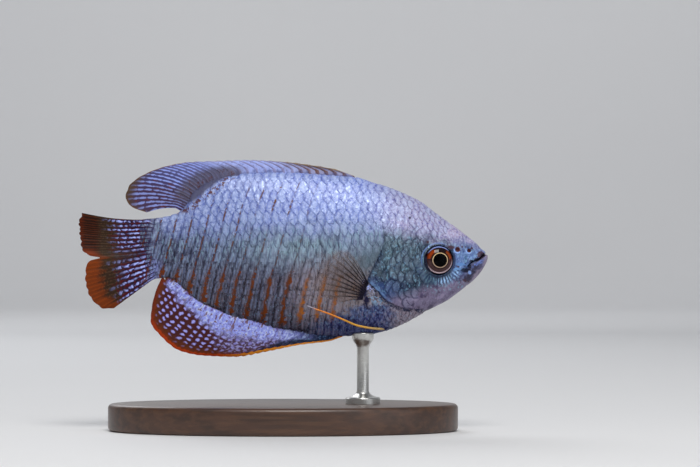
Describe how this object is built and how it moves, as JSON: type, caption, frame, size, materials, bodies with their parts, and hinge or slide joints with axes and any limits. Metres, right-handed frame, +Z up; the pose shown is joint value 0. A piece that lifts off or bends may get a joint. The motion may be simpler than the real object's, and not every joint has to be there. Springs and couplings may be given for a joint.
{
  "type": "dwarf gourami",
  "caption": "Life-size still model of a male dwarf gourami swimming level, with thread-like pelvic fins, held over an oval base by a short rod.",
  "frame": {"origin": "middle of the underside of the stand's base", "axes": "+X towards the fish's snout, +Y towards its left side, +Z up"},
  "size_m": [0.0751, 0.036, 0.0497],
  "materials": {
    "head_skin": "pearly blue and mauve fish skin with a wet sheen",
    "body_skin": "powder-blue scaled fish skin with rust-orange bars low on the flank",
    "eye": "glossy dark brown iris with a gold ring round a black pupil",
    "dorsal_fin": "satin fin skin, lavender blue and maroon with a rust edge",
    "anal_fin": "satin fin skin, lavender spots on maroon with an orange edge",
    "tail_fin": "satin fin skin, olive brown and rust with pale blue dashes",
    "pectoral_fin": "thin clear brownish fin skin with darker rays",
    "pelvic_feeler": "satin yellow orange",
    "stand_wood": "dark satin walnut",
    "stand_metal": "fine satin"
  },
  "bodies": {
    "root": {"head": "head_skin", "lower_jaw": "head_skin", "gill_cover_right": "head_skin", "gill_cover_left": "head_skin", "torso": "body_skin", "tail_stem": "body_skin", "eye_right": "eye", "eye_left": "eye", "dorsal_fin": "dorsal_fin", "anal_fin": "anal_fin", "tail_fin": "tail_fin", "pectoral_fin_right": "pectoral_fin", "pectoral_fin_left": "pectoral_fin", "pelvic_feeler_right": "pelvic_feeler", "pelvic_feeler_left": "pelvic_feeler", "stand_base": "stand_wood", "stand_rod": "stand_metal"}
  },
  "joints": []
}
